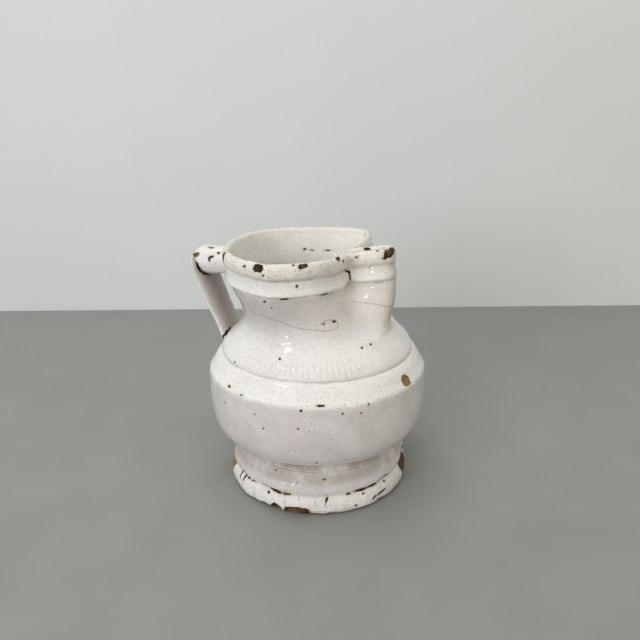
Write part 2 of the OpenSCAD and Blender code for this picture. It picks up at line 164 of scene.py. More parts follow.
def noise(p, size, seed):
    """Smooth noise from -1 to 1 at points, whose features have about that size"""
    q = np.asarray(p) / size
    cell = np.floor(q).astype(np.int64)
    t = q - cell
    t = t * t * (3 - 2 * t)
    total = 0
    for corner in np.ndindex(2, 2, 2):
        c = cell + np.array(corner)
        h = (c[..., 0] * 374761393 + c[..., 1] * 668265263 + c[..., 2] * 1440662683
             + seed * 974634777) & 0xFFFFFFFF
        h = ((h ^ (h >> 13)) * 1274126177) & 0xFFFFFFFF
        h = (h ^ (h >> 16)) & 0xFFFF
        weight = 1
        for axis in range(3):
            weight = weight * (t[..., axis] if corner[axis] else 1 - t[..., axis])
        total = total + weight * (h / 32767.5 - 1)
    return total


def grid_normals(grid, closed=True):
    """Outward normals of a grid of rows that run up, and columns that run anticlockwise"""
    if closed:
        across = np.roll(grid, -1, 1) - np.roll(grid, 1, 1)
    else:
        across = np.gradient(grid, axis=1)
    return unit(np.cross(across, np.gradient(grid, axis=0)))


# ---------- wear: chips, pits and stains ----------

# How deep each kind of mark goes, and how light its clay is, from 0, burnt brown, to 1, tan
KINDS = {
    "dark": (0.7, 0.12), "brown": (0.6, 0.42), "tan": (0.8, 0.9), "pit": (0.3, 0.1),
    "line": (0.5, 0.5)}
# x, y, z on the surface; half length along the circle, half height, tilt in degrees; kind
RIM_MARKS = [
    (-15, -64, 176.9, 3.7, 2.9, -12, "dark"), (11.6, -54.5, 178.3, 3.4, 1.9, 12, "brown"),
    (-52, -40.2, 175.3, 3, 3.4, 10, "dark"), (-26.1, -60.5, 176.3, 1.4, 0.9, 10, "dark"),
    (-10.8, -65.2, 172.9, 0.8, 0.8, 0, "dark"), (6.1, -57.2, 178.4, 1, 0.7, 20, "brown"),
    (25.3, -27.3, 177.9, 2.9, 1.8, 30, "brown"), (28.7, -24.1, 175.1, 1.4, 0.9, 0, "brown"),
    (36.4, 3.4, 178.2, 2.6, 1.3, 0, "dark"), (47.1, -8.3, 180.1, 0.9, 0.8, 0, "brown"),
    (55.3, -4.6, 180.4, 6.4, 3.5, 27, "brown"),
    (-0.1, -58.4, 156.4, 2.8, 0.7, 0, "dark"), (7.8, -55.8, 164.7, 0.9, 1, 0, "tan"),
    (21.1, -41.1, 156.6, 3.6, 0.5, 0, "line"), (26.6, -38.6, 137.5, 1.6, 0.8, 0, "pit"),
    (21.1, -43.9, 137, 0.8, 0.8, 0, "pit"), (-13.4, -60, 153.8, 1.2, 0.8, 20, "line"),
    (-28.3, 49.2, 162.4, 1.3, 0.8, 20, "brown"), (-23, 51.6, 161.5, 1.7, 0.6, -10, "tan"),
    (-10.2, 55.5, 161.4, 2.4, 0.5, 0, "tan")]
BODY_MARKS = [
    (-2.8, -62.6, 116, 0.8, 0.9, 0, "pit"), (-38.8, -58.3, 106.9, 0.9, 0.8, 0, "pit"),
    (49.6, -30.6, 120.8, 0.9, 0.9, 0, "pit"), (45.4, -37.1, 120.4, 0.8, 0.8, 0, "pit"),
    (73.9, -24.4, 95.4, 4.6, 4, -12, "tan"), (29.1, -73.6, 92.9, 2.9, 0.9, 0, "dark"),
    (-38.4, -68.7, 93.6, 1.5, 0.8, -15, "brown"), (-26.1, -75.1, 92, 1.2, 0.7, 0, "tan"),
    (17.6, -78.3, 89.9, 0.9, 0.9, 0, "brown"), (-8.1, -80.6, 73.1, 0.8, 0.8, 0, "pit"),
    (15.8, -79.4, 77.1, 0.7, 0.7, 0, "pit"), (42.4, -68.7, 87.1, 0.7, 0.7, 0, "pit"),
    (52.4, -61.4, 85.5, 0.7, 0.7, 0, "pit"), (56.2, -57.1, 90.5, 0.7, 0.7, 0, "pit"),
    (-14.7, -79.5, 82.3, 0.7, 0.7, 0, "pit"), (-42.8, -68.7, 80.5, 0.7, 0.7, 0, "pit"),
    (25.7, -72.6, 49.5, 0.7, 0.7, 0, "pit"), (25.9, -57.9, 26.8, 1, 0.6, 0, "pit"),
    (7.9, -64.5, 24.7, 0.7, 0.6, 0, "pit"), (-9.6, -61.3, 28.8, 0.8, 0.6, 0, "pit"),
    (-59.6, -30.5, 11.5, 13, 10.5, 0, "tan"), (66.1, 7.5, 11.5, 10, 9, 0, "brown"),
    (-41.9, -50, 15.5, 0.8, 4.4, 10, "line"), (-37.1, -54, 14.5, 0.8, 3.8, -15, "line"),
    (-33.5, -56.2, 13.6, 1.6, 0.7, 0, "line"), (-29, -58.7, 13.8, 2.2, 0.6, 0, "line"),
    (-15.9, -65, 14.9, 4.6, 0.8, -8, "brown"), (-8.3, -64.6, 14.1, 5, 0.9, -8, "brown"),
    (0.6, -65.2, 13.7, 3.2, 0.9, 0, "tan"), (41.5, -51.1, 14.2, 2.3, 0.7, 0, "line"),
    (48.4, -43.6, 14.2, 5.4, 0.9, 0, "brown"), (54.3, -35.7, 14.4, 4.4, 0.9, 0, "dark"),
    (58.7, -31.2, 16.8, 3, 0.9, 0, "dark"), (61.9, -25.5, 16.2, 4.4, 1.2, 0, "dark"),
    (60.8, -26.2, 12.7, 1, 0.9, 0, "dark"), (27.9, -59.8, 11.2, 0.8, 2.8, -14, "brown"),
    (50.3, -44.2, 11.9, 0.9, 0.8, 0, "dark"), (60.7, -32.3, 7.4, 4, 0.8, 14, "line"),
    (56.8, -38.8, 6.2, 2.2, 0.8, 25, "brown"), (46.8, -50.4, 5.1, 1.1, 0.7, 20, "dark"),
    (-7.1, -68.2, 3, 4.4, 2.9, -14, "dark"), (8.2, -68.2, 3.3, 9.6, 3.7, 4, "brown"),
    (-14, -65.4, 12, 1, 1, 0, "dark"), (-17, -66.6, 2, 3, 0.8, -10, "dark")]
LUG_MARKS = [
    (-79.6, -8.6, 173.5, 2.6, 1.4, 0, "tan"), (-76.2, -16.7, 168.4, 2.2, 1, 20, "dark"),
    (-77.2, -16.4, 166.4, 0.9, 2, 0, "brown"), (-70.7, -14.2, 171, 1.3, 0.9, 0, "pit"),
    (-88.6, -15.1, 168.8, 2.1, 2.1, 20, "tan")]
STRAP_MARKS = [(-89.4, -15.1, 168.8, 2.1, 2.1, 20, "tan")]
# Open cracks, as paths of points, and their half widths: in the fold beside the spout, and where the
# handle was luted on, at its top and at its foot, where the near-black clay is partly painted shadow
# of the gap at the joint
FOLD_CRACK = [(25.9, -15.6, 166), (26.5, -12.9, 165.2), (27.8, -11.4, 163.9),
              (28.5, -11.7, 161.6), (28.6, -12.5, 157.5)]
LUG_CRACK_AND_SHADOW = [(-89.4, -15, 165), (-89, -15.6, 162.7), (-88.1, -15.5, 158.6),
             (-86.4, -13.2, 154.6), (-83.8, -6.3, 151.2)]
STRAP_CRACK_AND_SHADOW = [(-69.6, -18.9, 105.6), (-66.9, -16.9, 109.8), (-64.9, -13.1, 112.3),
               (-60.4, -12.2, 117)]
FOLD_CRACK_HALF, LUG_CRACK_AND_SHADOW_HALF, STRAP_CRACK_AND_SHADOW_HALF = 0.8, 1.1, 1.2
# Fine scratches
SCRATCHES = [
    [(-31, -46.6, 141.5), (-19.4, -52.2, 140.7), (-8.9, -54.7, 139.6), (-0.7, -52.4, 136.6),
     (7.1, -50.9, 134.6), (14.6, -48.6, 133.6), (20.5, -45.7, 132.6)],
    [(19.7, -45.4, 136.6), (20.8, -44.3, 138.4), (23.4, -41.8, 139.2), (26.4, -38.5, 138.1),
     (28.9, -36.5, 135.2), (28.5, -38.4, 133), (25.5, -42, 132.2), (20.5, -45.7, 132.6)],
    [(32.1, -16.6, 145.1), (38.5, -14.1, 144), (47.5, -13.2, 143.4), (54, -11, 142.3),
     (57.6, -5.4, 140.2)],
    [(-22.1, -77.9, 75), (-17.4, -79.1, 70.5)],
    [(-26.9, -61.7, 10.9), (-26.7, -63, 7.5), (-27.5, -62.3, 2.5)],
    [(-0.3, -67.6, 12), (0.2, -68.5, 9.4), (0.4, -68.8, 5)],
    [(8.8, -64.4, 14.4), (9.6, -67, 10.6)], [(20.6, -63.3, 12.4), (21, -64.9, 8.6)],
    [(14, -66.4, 3.9), (23, -64, 3.6), (32.2, -60.3, 3.2), (40.2, -55.5, 3.4), (47.9, -49.4, 4.6)]]
# Bands of the vessel that wear first: lowest and highest z, how many chips each gets by
# chance on the side away from the front, and their largest half size
WORN_BANDS = {
    "rim": (172, 183, 17, 2.2), "collar": (156, 161, 5, 1.2), "ledge": (89, 95, 9, 2),
    "roll": (12.5, 17, 17, 2.2), "heel": (0, 4.5, 13, 3.6)}
PITS_ON_BODY, PITS_ON_NECK = 60, 30
# The side that has the marks listed above; the other side gets marks of its own by chance
FRONT = np.array([np.cos(np.radians(-70)), np.sin(np.radians(-70)), 0])


def marked(grid, normals, marks, seed):
    """How far inside a chip each point is, in millimetres, how deep that chip goes there, and
    how light its clay is"""
    chip = np.full(grid.shape[:2], -9.0)
    depth = np.zeros(grid.shape[:2])
    tone = np.zeros(grid.shape[:2])
    ragged = 0.22 * noise(grid, 2.6, seed) + 0.13 * noise(grid, 1.2, seed + 1)
    for x, y, z, along, across, tilt, kind in marks:
        gap = grid - np.array([x, y, z])
        far = np.linalg.norm(gap, axis=-1)
        reach = 1.6 * max(along, across) + 1.5
        if far.min() > 3:
            continue
        n = normals[np.unravel_index(far.argmin(), far.shape)]
        level = unit(np.cross([0, 0, 1], n) + 1e-6)
        rise = np.cross(n, level)
        c, s = np.cos(np.radians(tilt)), np.sin(np.radians(tilt))
        near = far < reach
        u = gap[near] @ (c * level + s * rise) / along
        v = gap[near] @ (c * rise - s * level) / across
        off = np.abs(gap[near] @ n) / (reach * 1.2)
        q = (np.abs(u) ** 2.3 + np.abs(v) ** 2.3 + off ** 4) ** (1 / 2.3)
        size = min(along, across)
        inside = (1 - q) * size - ragged[near] * min(size, 2.2)
        better = inside > chip[near]
        for field, value in ((chip, inside), (depth, KINDS[kind][0]), (tone, KINDS[kind][1])):
            field[near] = np.where(better, value, field[near])
    return chip, depth, tone


def scattered(grid, normals, rng, band, count, largest):
    """Chance marks on a band of the vessel, where it faces away from the front"""
    z = grid[..., 2]
    spots = np.argwhere((z > band[0]) & (z < band[1]) & (normals @ FRONT < -0.25))
    marks = []
    for j, i in spots[rng.integers(0, len(spots), count)]:
        size = 0.55 + (largest - 0.55) * rng.random() ** 2.2
        kind = rng.choice(["dark", "brown", "tan", "pit"], p=[0.3, 0.35, 0.1, 0.25])
        marks.append((*grid[j, i], size * rng.uniform(1, 1.9), size, rng.uniform(-30, 30), kind))
    return marks


def pitted(grid, normals, rng, count):
    """Pinholes and specks, where a grid faces away from the front"""
    spots = np.argwhere(normals @ FRONT < -0.15)
    chosen = spots[rng.integers(0, len(spots), count)]
    return [(*grid[j, i], rng.uniform(0.35, 0.8), rng.uniform(0.3, 0.6), rng.uniform(-60, 60),
             "pit") for j, i in chosen]


def from_path(grid, path):
    """How far each point of a grid is from a path laid on it, and its share of the way along"""
    flat = grid.reshape(-1, 3)
    path = spline(path, 4)[0]
    for k, p in enumerate(path):
        gaps = np.linalg.norm(flat - p, axis=1)
        if gaps.min() < 4:
            path[k] = flat[gaps.argmin()]
    nearest = np.full(grid.shape[:2], 99.0)
    share = np.zeros(grid.shape[:2])
    for k, (a, b) in enumerate(zip(path[:-1], path[1:])):
        way = b - a
        t = np.clip(((grid - a) @ way) / (way @ way + 1e-9), 0, 1)
        away = np.linalg.norm(grid - a - t[..., None] * way, axis=-1)
        share = np.where(away < nearest, (k + t) / (len(path) - 1), share)
        nearest = np.minimum(nearest, away)
    return nearest, share


def cracked(grid, chip, depth, tone, path, half_width):
    """Opens a dark crack along a path, narrowing to its ends; at the handle's joints its near-black
    clay is partly painted shadow
    """
    away, share = from_path(grid, path)
    width = half_width * (0.4 + 0.6 * np.sin(np.pi * share) ** 0.7)
    inside = width * (1 + 0.25 * noise(grid, 2.2, 97)) - away
    better = (inside > chip) & (away < 3)
    chip[better] = inside[better]
    depth[better] = 0.7
    tone[better] = -0.3


def scratched(grid):
    """1 on the fine scratches, falling to 0 beside them"""
    lines = [1 - from_path(grid, path)[0] / 0.9 for path in SCRATCHES]
    return np.clip(np.max(lines, 0), 0, 1)


def facing_out(grid):
    """The same tube, with its columns in the order that turns its normals outwards"""
    middle = len(grid) // 2
    outwards = grid[middle] - grid[middle].mean(0)
    return grid if (grid_normals(grid)[middle] * outwards).sum() > 0 else grid[:, ::-1]


def carved(grid, normals, chip, depth):
    """The grid with its chips broken out of it"""
    return grid - normals * (depth * smooth(chip / 0.5))[..., None]


def wobble(grid):
    """How far hand throwing has left the wall from true, outwards"""
    return (0.42 * noise(grid, 44, 11) + 0.16 * noise(grid, 17, 12) + 0.05 * noise(grid, 6, 13))


# ---------- the vessel's skin, from the foot up to the neck ----------

SPACING = 0.62
BODY_COLUMNS = 760
# Rows past the top of the lip at which the inside's skin takes over from the neck's
LIP_SEAM_ROWS = 10

body_profile = resampled(spline(FOOT_POINTS + BELLY_POINTS + SHOULDER_POINTS, 16)[0], SPACING)[0]
# Rows stand exactly on the joints, so that neighbouring skins share them
for joint in (WAIST_Z, STEP_Z):
    row = np.abs(body_profile[:, 1] - joint).argmin()
    body_profile[row, 1] = joint
waist_row = int(np.abs(body_profile[:, 1] - WAIST_Z).argmin())
step_row = int(np.abs(body_profile[:, 1] - STEP_Z).argmin())

theta = np.linspace(0, 2 * np.pi, BODY_COLUMNS, endpoint=False)


def turned(profile, angles):
    r, z = profile[:, 0][:, None], profile[:, 1][:, None]
    return np.stack([r * np.cos(angles), r * np.sin(angles), z + 0 * angles], -1)


body = turned(body_profile, theta)
body_normals = grid_normals(body)
z = body[..., 2]
angle = np.broadcast_to(theta, z.shape)

# Fingers have left close lines in the cove and wide ones on the belly
cove = smooth((z - 21) / 3) * smooth((38 - z) / 2)
lines = (0.03 + 0.15 * smooth((z - 28) / 3)) * cove
lines *= np.sin(2 * np.pi * (z + angle * 0.25) / 1.9 + 0.8 * noise(body, 14, 21))
lines += 0.012 * smooth((z - 40) / 6) * smooth((90 - z) / 4) * np.sin(2 * np.pi * z / 4.3)
# The band of thick glaze round the foot is lumpy, with runs that hang down
band = smooth((13.4 - z) / 1.6)
lumps = band * (0.6 * noise(body * [1, 1, 0.6], 8.5, 22) + 0.3 * noise(body, 3.8, 23))
lumps += 0.35 * smooth((24 - z) / 6) * noise(body * [1, 1, 0.3], 6.5, 24)
# Short flutes were pressed into the shoulder
FLUTES = 108
flute_band = smooth((z - STEP_Z - 1.2) / 1.8) * smooth((117.6 - z) / 5)
flute_phase = FLUTES * angle + 1.1 * noise(body, 15, 25) + 0.12 * (z - STEP_Z)
flutes = flute_band * (0.5 + 0.5 * np.cos(flute_phase)) ** 1.3
flutes *= np.clip(0.6 + 0.4 * noise(body, 19, 26) + 0.35 * noise(body, 5, 27), 0.1, 1.2)
# The steps were cut with a tool, which left fine sharp grooves
grooves = 0.25 * bump_at(z, STEP_Z + 0.1, 0.5) + 0.4 * bump_at(z, WAIST_Z + 0.6, 0.7)
out = wobble(body) + lines + lumps - 0.22 * flutes - grooves
body = body + body_normals * out[..., None]
body[..., 2] = np.maximum(body[..., 2], 0.5)

rng = np.random.default_rng(7)
body_marks = list(BODY_MARKS)
for name in ("ledge", "roll", "heel"):
    low, high, count, largest = WORN_BANDS[name]
    body_marks += scattered(body, body_normals, rng, (low, high), count, largest)
body_marks += pitted(body, body_normals, rng, PITS_ON_BODY)
body_chip, body_depth, body_tone = marked(body, grid_normals(body), body_marks, 31)
# Bare clay shows under a ragged edge of glaze all round the heel
level_ring = body * [1, 1, 0]
heel = 0.9 + 0.7 * noise(level_ring, 9, 32) + 0.4 * noise(level_ring, 3, 33) - body[..., 2]
body_tone = np.where(heel > body_chip, 0.45, body_tone)
body_depth = np.where(heel > body_chip, 0.35, body_depth)
body_chip = np.maximum(body_chip, heel)
# The crack at the strap's foot is painted near black, partly as the shadow in the joint's gap
cracked(body, body_chip, body_depth, body_tone, STRAP_CRACK_AND_SHADOW, STRAP_CRACK_AND_SHADOW_HALF)
body = carved(body, grid_normals(body), body_chip, body_depth)

# ---------- the neck, its collar, lip and pinched spout, and the inside ----------

pinch, pinch_at = spline(PINCH_POINTS, 24)
pinch, pinch_at = resampled(pinch, SPACING, pinch_at)
arc_angles = np.linspace(FAR_ANGLE, 360 + NEAR_ANGLE, int(round(RIM_R * np.radians(
    360 + NEAR_ANGLE - FAR_ANGLE) / SPACING)) + 1)[1:-1]
arc = np.stack(at_angle(RIM_R, arc_angles), -1)
mouth = np.concatenate([pinch, arc])
last_at = len(PINCH_POINTS) - 1
pinch_polar = np.degrees(np.arctan2(pinch[:, 1], pinch[:, 0]))
evenly = NEAR_ANGLE + (FAR_ANGLE - NEAR_ANGLE) * pinch_at / last_at
column_angle = np.concatenate([0.5 * pinch_polar + 0.5 * evenly, arc_angles])
near_share = smooth(pinch_at / NEAR_THROAT_I)
far_share = smooth((last_at - pinch_at) / (last_at - FAR_THROAT_I))
spout_share = np.where(pinch_at < NEAR_THROAT_I, near_share,
                       np.where(pinch_at > FAR_THROAT_I, far_share, 1))
spout_share = np.concatenate([spout_share, 0 * arc_angles])
from_tip = np.abs(pinch_at - TIP_I)
pinch_rise = (TIP_RISE * smooth(1 - from_tip / 5)
              - THROAT_DIP * smooth(1 - np.abs(from_tip - 5.2) / 4))
arc_rise = HANDLE_LIFT * smooth(1 - np.abs(arc_angles - 160) / 50)
rise = np.concatenate([pinch_rise, arc_rise])
outline_way = unit(np.roll(mouth, -1, 0) - np.roll(mouth, 1, 0))
outline_normal = np.stack([outline_way[:, 1], -outline_way[:, 0]], -1)


def neck_grid(section):
    """Rows of the neck's wall through a list of radius, height and offset"""
    r, height, offset = (section[:, k][:, None] for k in range(3))
    climb = np.clip((height - NECK_FOOT_Z) / (COLLAR_Z - NECK_FOOT_Z - 4), 0, 1)
    pinching = (climb ** 0.75 * smooth(climb * 9 + 0.2))[..., None]
    share = spout_share[:, None] * pinching
    spoke = np.stack(at_angle(1, column_angle), -1)
    middle = (1 - pinching) * RIM_R * spoke + pinching * mouth
    way = unit((1 - pinching) * spoke + pinching * outline_normal)
    moved = (r - RIM_R)[..., None] * (1 - share) + offset[..., None] * share
    plan = middle + way * moved
    return np.concatenate([plan, height[..., None] + rise[:, None] * pinching], -1)


neck_section = resampled(spline(NECK_SECTION, 16)[0], SPACING)[0]
lining_profile = resampled(spline(LINING_POINTS, 10)[0], 1.5)[0]
neck = neck_grid(neck_section)
lip_row = int(np.argmax(neck_section[:, 1])) + LIP_SEAM_ROWS
lining = turned(lining_profile[1:], np.radians(column_angle))
neck_all = np.concatenate([neck, lining])
neck_normals = grid_normals(neck_all)
z = neck_all[..., 2]
outside = (np.arange(len(neck_all)) <= lip_row)[:, None]
lip = smooth((z - 166) / 6)
out = wobble(neck_all) * (0.3 + 0.7 * smooth((z - 123) / 8) * outside + 0.7 * (1 - outside))
out += 0.025 * (1 - outside) * np.sin(2 * np.pi * (z + 0.02 * neck_all[..., 0]) / 5.1)
# Pinching has folded the wall into a valley on the near side of the spout, where the ring and
# the lip are pressed flat, and a softer one on the far side
column_at = np.concatenate([pinch_at, np.full(len(arc_angles), -9.0)])
level = z - rise
valley_width = 0.9 + 0.6 * smooth((154 - z) / 14)
near_valley = np.exp(-((column_at - NEAR_THROAT_I - 0.2) / valley_width) ** 2)
far_valley = np.exp(-((column_at - FAR_THROAT_I) / 0.7) ** 2)
up_the_neck = smooth((z - 122) / 26) * (1 - 0.7 * smooth((z - 168) / 8))
pressed = np.exp(-((column_at - NEAR_THROAT_I - 0.2) / 0.8) ** 2)
pressed = pressed * (1.2 * bump_at(level, COLLAR_Z + 0.9, 2.4) + 0.9 * bump_at(level, RIM_Z - 6, 3))
out -= outside * (up_the_neck * (2.0 * near_valley + 1.2 * far_valley) + pressed)
# Beyond the spout the lip is folded to a sharp crest, which slopes down on the outside
FOLD_START, FOLD_END, FOLD_THINNING, FOLD_DROP = 16.4, 24.3, 1.7, 2.8
fold = smooth((column_at - FOLD_START) / 1.2) * smooth((FOLD_END - column_at) / 1.6)
upright = (1 - neck_normals[..., 2] ** 2) * fold
out -= outside * upright * FOLD_THINNING * smooth((level - RIM_Z + 11) / 3)
row_offset = np.concatenate([neck_section[:, 2], np.full(len(lining), -9.0)])[:, None]
past_crest = smooth((row_offset + 2.2) / 4.6) * smooth((level - RIM_Z + 9) / 6)
neck_all[..., 2] -= FOLD_DROP * fold * past_crest
# At the spout's tip the ring and the lip are almost flush with the wall
at_tip = np.exp(-((column_at - TIP_I) / 1.3) ** 2)
out += outside * at_tip * np.interp(
    level, [146, 151, 156, 159, 162, 168, 172], [0, 0.4, 0.6, -1, 0.2, 0.5, -1.3])
out += 0.2 * lip * noise(neck_all, 7, 41) + 0.12 * lip * noise(neck_all, 3.2, 42)
out -= outside * 0.3 * bump_at(level, COLLAR_Z - 1.2, 0.6)
out -= outside * 0.3 * bump_at(level, RIM_Z - 11.2, 0.6)
neck_all = neck_all + neck_normals * out[..., None]

neck_marks = list(RIM_MARKS)
upper, upper_normals = neck_all[:lip_row], neck_normals[:lip_row]
for name in ("rim", "collar"):
    low, high, count, largest = WORN_BANDS[name]
    neck_marks += scattered(upper, upper_normals, rng, (low, high), count, largest)
neck_marks += pitted(upper, upper_normals, rng, PITS_ON_NECK)
neck_chip, neck_depth, neck_tone = marked(neck_all, grid_normals(neck_all), neck_marks, 51)
cracked(neck_all, neck_chip, neck_depth, neck_tone, FOLD_CRACK, FOLD_CRACK_HALF)
neck_all = carved(neck_all, grid_normals(neck_all), neck_chip, neck_depth)

# ---------- the handle ----------

HANDLE_MIDDLE = np.array([-76.0, 0, 0])


def spun(p, degrees):
    c, s = np.cos(np.radians(degrees)), np.sin(np.radians(degrees))
    return np.stack([p[..., 0] * c - p[..., 1] * s, p[..., 0] * s + p[..., 1] * c, p[..., 2]], -1)


def placed(p):
    """A point of the handle, drawn along -X, at its real turn and twist"""
    return spun(HANDLE_MIDDLE + spun(p - HANDLE_MIDDLE, HANDLE_TWIST), HANDLE_TURN)


def shoulder_r(height):
    rows = body_profile[:, 1] > BELLY_TOP_Z
    return np.interp(height, body_profile[rows, 1], body_profile[rows, 0])


def rim_side_r(height):
    side = np.array(NECK_SECTION)[5:19]
    return np.interp(height, side[:, 1], side[:, 0])


def settled(p, way, wall_r, within, without, sunk):
    """Slides points along a way until they stand a little inside a wall of revolution"""
    low = np.full(p.shape[:-1], float(within))
    high = np.full(p.shape[:-1], float(without))
    for _ in range(24):
        mid = (low + high) / 2
        q = p + mid[..., None] * way
        inside = np.hypot(q[..., 0], q[..., 1]) < wall_r(q[..., 2]) - sunk
        low, high = np.where(inside, mid, low), np.where(inside, high, mid)
    return p + ((low + high) / 2)[..., None] * way


def signed_power(v, power):
    return np.sign(v) * np.abs(v) ** power


strap_line = resampled(spline(STRAP_LINE, 12)[0], 0.7)[0]
strap_way = unit(np.gradient(strap_line[:, :2], axis=0))
around = np.linspace(0, 2 * np.pi, 120, endpoint=False)
to_end = strap_line[-1, 1] - strap_line[:, 1]
to_foot = strap_line[:, 1] - strap_line[0, 1]
rounding = np.sqrt(np.clip(1 - (1 - np.clip(to_end / 3.2, 0, 1)) ** 2, 0, 1)) * 0.98 + 0.02
flare = 1 + 0.1 * np.exp(-to_foot / 4)
half_w = STRAP_W / 2 * strap_line[:, 2] * flare * (0.55 + 0.45 * rounding)
half_t = STRAP_T / 2 * strap_line[:, 3] * flare * rounding
through = half_t[:, None] * signed_power(np.sin(around), 0.7)
strap = placed(np.stack([
    -strap_line[:, 0][:, None] - through * strap_way[:, 1][:, None],
    half_w[:, None] * signed_power(np.cos(around), 0.6),
    strap_line[:, 1][:, None] - through * strap_way[:, 0][:, None]
    + 2.2 * (1 - to_end[:, None] / 8) * (to_end[:, None] < 8)], -1))
down = placed(np.array([1, 0, -1.8])) - placed(np.zeros(3))
foot_ring = settled(strap[0], down, shoulder_r, 14, -12, 0.7)
reach_rows = 14
strap = np.concatenate([
    foot_ring + (strap[reach_rows] - foot_ring) * np.linspace(0, 1, reach_rows + 1)[:, None, None],
    strap[reach_rows + 1:]])
strap = facing_out(strap)
strap_normals = grid_normals(strap)
strap_out = 0.3 * noise(strap, 13, 61) + 0.12 * noise(strap, 5, 62)
strap = strap + strap_normals * strap_out[..., None]
strap_marks = STRAP_MARKS + pitted(strap, strap_normals, rng, 8)
strap_chip, strap_depth, strap_tone = marked(strap, strap_normals, strap_marks, 63)

stations = resampled(spline(LUG_STATIONS, 12)[0], 0.02, flat=1)[0]
stations = np.concatenate([stations, [stations[-1] * [1, 0.7, 1, 1]], [stations[-1] * [1, 0.3, 1, 1]]])
lug_around = np.linspace(0, 2 * np.pi, 112, endpoint=False)
share, radius, sink, breadth = (stations[:, k][:, None] for k in range(4))
fillet = 1 + 0.1 * np.exp(-share / 0.08)
lug_radius = LUG_R * radius * fillet
lug_y = lug_radius * breadth * np.cos(lug_around)
lug_z = LUG_Z - sink + lug_radius * np.sin(lug_around)
strap_inner = -np.interp(lug_z, strap_line[:, 1], strap_line[:, 0] - STRAP_T * 0.52 * strap_line[:, 3])
# The lug's upper half laps over the strap's head, and its lower half butts against the strap
over_head = 5.0 * smooth((np.sin(lug_around) + 0.25) / 0.9) * smooth((share - 0.55) / 0.4)
at_strap = placed(np.stack([strap_inner + 0.1 - over_head, lug_y, lug_z], -1))
rim_way = placed(np.array([1.0, 0, 0])) - placed(np.zeros(3))
at_rim = settled(at_strap, rim_way, rim_side_r, 40, 0, 1.2)
lug = at_rim + share[..., None] * (at_strap - at_rim)
lug = facing_out(lug)
lug_normals = grid_normals(lug)
lug_out = 0.5 * noise(lug, 8, 71) + 0.2 * noise(lug, 3.6, 72)
lug = lug + lug_normals * lug_out[..., None]
lug_marks = LUG_MARKS + pitted(lug, lug_normals, rng, 5)
lug_chip, lug_depth, lug_tone = marked(lug, lug_normals, lug_marks, 73)
# The cracks at the lug's joint and at the strap's foot are painted near black, partly as the shadow in
# the joints' gaps
for grid, chip, depth, tone in ((strap, strap_chip, strap_depth, strap_tone),
                                (lug, lug_chip, lug_depth, lug_tone)):
    cracked(grid, chip, depth, tone, LUG_CRACK_AND_SHADOW, LUG_CRACK_AND_SHADOW_HALF)
cracked(strap, strap_chip, strap_depth, strap_tone, STRAP_CRACK_AND_SHADOW, STRAP_CRACK_AND_SHADOW_HALF)
strap = carved(strap, strap_normals, strap_chip, strap_depth)
lug = carved(lug, lug_normals, lug_chip, lug_depth)

# ---------- the bare clay under the foot ----------

BASE_POINTS = [
    (0.4, RECESS_DEPTH), (16, RECESS_DEPTH + 0.1), (34, RECESS_DEPTH - 0.2),
    (RECESS_R - 4.5, RECESS_DEPTH - 0.3), (RECESS_R - 1.6, RECESS_DEPTH - 1.4),
    (RECESS_R + 0.6, 0.5), (RECESS_R + 3.5, 0.05), (58, 0.05), (FOOT_R - 5, 0.1),
    (FOOT_R - 3, 0.5), (FOOT_R - 3, 3.5)]
base_profile = resampled(spline(BASE_POINTS, 12)[0], 0.8)[0]
base_theta = np.linspace(0, 2 * np.pi, 460, endpoint=False)
base = turned(base_profile, base_theta)
base_normals = grid_normals(base)
spiral = np.sin(2 * np.pi * (np.hypot(base[..., 0], base[..., 1]) + base_theta * 0.35) / 2.4)
worn = (0.08 * spiral + 0.25 * noise(base, 19, 81) + 0.14 * noise(base, 5, 82)
        + 0.06 * noise(base, 1.6, 83))
base = base + base_normals * worn[..., None]
base[..., 2] = np.maximum(base[..., 2], 0)

# ---------- tints that vary over the surface ----------


def fields_of(grid, chip, tone, thin_and_shade=0.0, dirt_and_shade=0.0, cream=0.0, worn=0.0):
    """The values that the glaze reads at each point, all as arrays of the grid's shape"""
    fields = {"chip": chip, "tone": tone, "thin_and_shade": thin_and_shade, "dirt_and_shade": dirt_and_shade, "cream": cream,
              "worn": worn, "scratch": scratched(grid)}
    return {key: np.clip(f, -9, 9) + np.zeros(grid.shape[:2]) for key, f in fields.items()}


def body_fields(grid, chip, tone):
    z = grid[..., 2]
    # Thin glaze greys the belly, the cove and the neck's foot; in the cove under the belly and in the
    # flutes' hollows the grey is also painted shade
    thin_and_shade = (0.9 * smooth((z - 38) / 4) * smooth((92 - z) / 2)
            + 0.9 * smooth((z - 17) / 4) * smooth((38 - z) / 3)
            + 0.9 * smooth((z - 116) / 25) + 0.5 * flutes)
    # Dirt lies in the cut grooves and the throwing lines; the dark line at the waist's crease is dirt
    # and painted shade, and the broad darkening of the cove under the belly is painted shade
    dirt_and_shade = (0.5 * bump_at(z, STEP_Z + 0.1, 0.45) + 0.8 * bump_at(z, WAIST_Z - 0.4, 0.9)
            + 0.6 * bump_at(z, WAIST_Z - 3, 0.45) + 0.5 * bump_at(z, WAIST_Z - 5.2, 0.4)
            + 0.5 * smooth((z - 21) / 5) * smooth((WAIST_Z + 1 - z) / 2)
            + 0.3 * bump_at(z, 14.2, 0.8) + 0.3 * bump_at(z, BELLY_TOP_Z + 0.6, 0.6))
    dirt_and_shade *= smooth(0.62 + 0.55 * noise(grid, 9, 91) + 0.3 * noise(grid, 2.5, 92))
    worn = (0.8 * bump_at(z, BELLY_TOP_Z + 0.4, 1.4) + 0.8 * bump_at(z, WAIST_Z + 1.5, 2)
            + 0.5 * bump_at(z, STEP_Z + 0.4, 1.1))
    worn *= smooth(0.6 + noise(grid, 24, 95))
    return fields_of(grid, chip, tone, thin_and_shade, dirt_and_shade, 0, worn)


